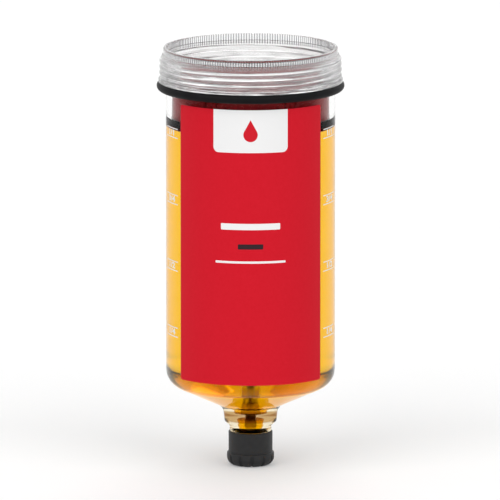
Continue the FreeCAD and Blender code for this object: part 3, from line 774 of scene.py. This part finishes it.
for piece, node, body in ((valve_body, "valve_body", "cartridge"), (poppet, "valve_poppet", "poppet"),
                          (washer, "valve_retainer", "poppet")):
    piece.data.materials.append(BRASS)
    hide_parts(node)
    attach(piece, body)
spring.data.materials.append(spring_steel())
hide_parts("valve_spring")
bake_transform(spring)

# Oil charge: golden mineral oil that fills the bore from the web to the piston, and the outlet under the
# web. It wets every wall, so it reaches a hair into them.
WET = 0.04
PISTON_FOOT = SEAL_FOOT - 0.8
NOSE_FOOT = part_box("piston_body")[0][2] / MM
OIL_INDEX = 1.18
OUTLET_OIL_INDEX = 1.12


def golden_oil(name, bend):
    """Clear golden oil with a refractive index; the colour is that of light which has crossed it."""
    finish = Finish(name)
    colour = finish.blend(finish.noise(40, 1.0), (0.98, 0.51, 0.001, 1), (0.98, 0.56, 0.002, 1))
    return finish.surface(Base_Color=colour, Roughness=0.0, IOR=bend, Transmission_Weight=1.0,
                          Specular_Tint=(0.15, 0.15, 0.15, 1))


oil = lathe("oil_charge", rounded([
    (0, WEB_TOP - WET, 0),
    (THROAT_RADIUS + WET, WEB_TOP - WET, 0.3),
    (THROAT_RADIUS + WET, THROAT_TOP - WET, 0.8),
    (BORE_RADIUS + WET, SHOULDER_TOP - WET, 5.0),
    (BORE_RADIUS + WET, SEAL_FOOT + 0.25, 0.02),
    (BORE_RADIUS - 0.34, SEAL_FOOT + 0.25, 0.02),
    (BORE_RADIUS - 0.34, PISTON_FOOT + WET, 0.02),
    (4.5, NOSE_FOOT + WET, 1.0),
    (0, NOSE_FOOT + WET, 0),
], closed=False), columns=SHELL_COLUMNS)
outlet_oil = lathe("outlet_oil_charge", rounded([
    (0, SPIGOT_END + 0.05, 0),
    (OUTLET_RADIUS + WET, SPIGOT_END + 0.05, 0.02),
    (OUTLET_RADIUS + WET, TAPER_FOOT, 1.5),
    (TAPER_RADIUS + WET, WEB_FOOT + WET, 0.4),
    (0, WEB_FOOT + WET, 0),
], closed=False), columns=SHELL_COLUMNS)
for piece, node, bend in ((oil, "oil_fill", OIL_INDEX), (outlet_oil, "outlet_oil", OUTLET_OIL_INDEX)):
    piece.data.materials.append(golden_oil(node + "_gold", bend))
    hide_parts(node)
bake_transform(oil)
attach(outlet_oil, "cartridge")

# Outlet cap: a black moulded screw cap with a wider grip, whose narrow grooves run down round its bottom
# edge, and a soft disc inside that closes the spigot's end.
CAP_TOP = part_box("outlet_cap")[1][2] / MM
CAP_BORE = 6.68
CAP_FLOOR = SPIGOT_END - 1.2
CAP_RADIUS = 8.0
CAP_EDGE = 3.0
GRIP_RADIUS = 8.7
GRIP_TOP = 4.7
GROOVES = 12
GROOVE_HALF = 0.5
GROOVE_DEPTH = 0.5
GROOVE_EDGE = 0.22
GROOVE_RADIUS = 8.5
GROOVE_TURN = math.radians(4)
CAP_COLUMNS = GROOVES * 36
DISC_RADIUS = 6.5


def make_cap():
    """The cap's outline turned about the axis, its grip sunk by a smooth step across each groove.

    Round the bottom edge the sinking turns from inwards to upwards. Its upward share is the depth under the
    edge's top over the edge's height; its inward share is the root of one less the square of that.
    """
    outline = rounded([
        (0.4, 0.0, 0), (GRIP_RADIUS, 0.0, CAP_EDGE), (8.55, GRIP_TOP, 0.3),
        (CAP_RADIUS, GRIP_TOP + 0.1, 0.15), (CAP_RADIUS, CAP_TOP, 0.3),
        (CAP_BORE, CAP_TOP, 0.3), (CAP_BORE, CAP_FLOOR, 0.2), (0.4, CAP_FLOOR, 0),
    ], closed=False, bend=0.12)
    turn = circle_angles(CAP_COLUMNS)
    radius, height = outline[:, :1], outline[:, 1:]
    step = 2 * math.pi / GROOVES
    away = np.abs((turn - GROOVE_TURN + step / 2) % step - step / 2) * GROOVE_RADIUS
    across = np.clip((GROOVE_HALF - away) / GROOVE_EDGE + 0.5, 0, 1)
    outside = np.arange(len(outline))[:, None] < np.argmax(outline[:, 1] > GRIP_TOP)
    along = outside * np.clip((GRIP_TOP - 0.75 - height) / 0.2, 0, 1) * np.clip((radius - 5.0) / 1.0, 0, 1)
    sink = GROOVE_DEPTH * across * across * (3 - 2 * across) * along
    lift = np.clip((CAP_EDGE - height) / CAP_EDGE, 0, 1)
    points = ring_points(radius - sink * np.sqrt(1 - lift ** 2), height + sink * lift, CAP_COLUMNS)
    rows = np.arange(points[..., 0].size).reshape(points.shape[:2])
    return make_piece("outlet_cap_moulding", points, band_faces(rows[:-1], rows[1:]),
                      rows[:1, ::-1], rows[-1:])


def black_plastic():
    """Black moulded plastic with a matte grain."""
    finish = Finish("black_plastic")
    grain = finish.noise(3500, 3.0)
    colour = finish.blend(finish.noise(500), (0.010, 0.010, 0.0105, 1), (0.019, 0.019, 0.020, 1))
    return finish.surface(Base_Color=colour, Roughness=0.42 + 0.18 * grain, Specular_IOR_Level=0.3,
                          Normal=finish.relief(grain, 0.00003, 0.35))


cap = make_cap()
cap.data.materials.append(black_plastic())
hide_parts("outlet_cap")
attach(cap, "cap")
cap_disc = lathe("outlet_cap_disc", rounded([
    (0, CAP_FLOOR + 0.01, 0), (DISC_RADIUS, CAP_FLOOR + 0.01, 0.2), (DISC_RADIUS, SPIGOT_END, 0.2),
    (0, SPIGOT_END, 0),
], closed=False), columns=96)
cap_disc.data.materials.append(RUBBER)
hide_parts("outlet_cap_seal")
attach(cap_disc, "cap_seal")

# Studio: a pale floor under the cap, a surround that is white to the horizon and dimmer overhead, and
# broad soft light from both sides of the front and from behind.
FLOOR_HALF = 3.0
HORIZON = (1.0, 1.0, 1.0, 1)
OVERHEAD = (0.85, 0.85, 0.86, 1)
LIGHTS = (
    # direction to the light, power in watts a square metre
    ((-0.62, -0.75, 0.75), 1.05),
    ((0.62, -0.75, 0.75), 0.9),
    ((0.1, 0.9, 0.8), 0.7),
)
LIGHT_SPREAD = math.radians(50)


def background_seen(finish):
    """1 for the rays that show a background: straight from the camera, off gloss, or through glass."""
    straight, off_gloss, through = (finish.node("LightPath", output=name) for name in (
        "Is Camera Ray", "Is Glossy Ray", "Is Transmission Ray"))
    return finish.maths("MAXIMUM", finish.maths("MAXIMUM", straight, off_gloss), through)


def make_floor():
    """A flat pale floor that looks white to the camera, with the object's soft shadow on it."""
    corners = np.array([(-1, -1, 0), (1, -1, 0), (1, 1, 0), (-1, 1, 0)]) * FLOOR_HALF / MM
    floor = make_piece("floor", corners, np.array([[0, 1, 2, 3]]))
    finish = Finish("pale_floor")
    glow = finish.blend(background_seen(finish), (0, 0, 0, 1), (0.16, 0.16, 0.16, 1))
    floor.data.materials.append(finish.surface(
        Base_Color=(0.85, 0.85, 0.85, 1), Roughness=0.9, Specular_IOR_Level=0.0,
        Emission_Color=glow, Emission_Strength=1.0))


def make_surround():
    """White where a background is seen, and a plain level of light elsewhere."""
    finish = Finish("surround", bpy.data.worlds)
    bpy.context.scene.world = finish.material
    seen = background_seen(finish)
    up = finish.part(2, finish.node("TexCoord", output="Generated"))
    high = finish.node("MapRange", {"interpolation_type": "SMOOTHSTEP"},
                       {"Value": up, "From Min": 0.4, "From Max": 0.85})
    colour = finish.blend(high * seen, HORIZON, OVERHEAD)
    light = finish.node("Background", {}, {"Color": colour, "Strength": 0.5 + 0.5 * seen})
    finish.node("OutputWorld", {}, {"Surface": light})


def make_lights():
    """Suns with a wide disc, so that the light is soft and as strong everywhere on the floor."""
    for index, (direction, power) in enumerate(LIGHTS):
        lamp = bpy.data.lights.new(f"soft_light_{index}", "SUN")
        lamp.energy = power
        lamp.angle = LIGHT_SPREAD
        stand = bpy.data.objects.new(lamp.name, lamp)
        stand.location = Vector(direction) * 2
        stand.rotation_euler = Vector(direction).to_track_quat("Z", "Y").to_euler()
        bpy.context.scene.collection.objects.link(stand)


make_floor()
make_surround()
make_lights()

# Camera: far off with a long lens, a little above the mouth, as in a catalogue picture.
CAMERA_PLACE = (-0.0002, -4.2, 0.835)
CAMERA_AIM = (-0.0002, 0.0, 0.0791)
CAMERA_LENS = 847.0


def make_camera():
    """The camera, aimed at the cartridge's middle."""
    lens = bpy.data.cameras.new("camera")
    lens.lens = CAMERA_LENS
    lens.clip_end = 20
    camera = bpy.data.objects.new("camera", lens)
    camera.location = CAMERA_PLACE
    camera.rotation_euler = (Vector(CAMERA_AIM) - Vector(CAMERA_PLACE)).to_track_quat("-Z", "Y").to_euler()
    bpy.context.scene.collection.objects.link(camera)
    bpy.context.scene.camera = camera


make_camera()
bpy.context.scene.view_settings.view_transform = "Standard"
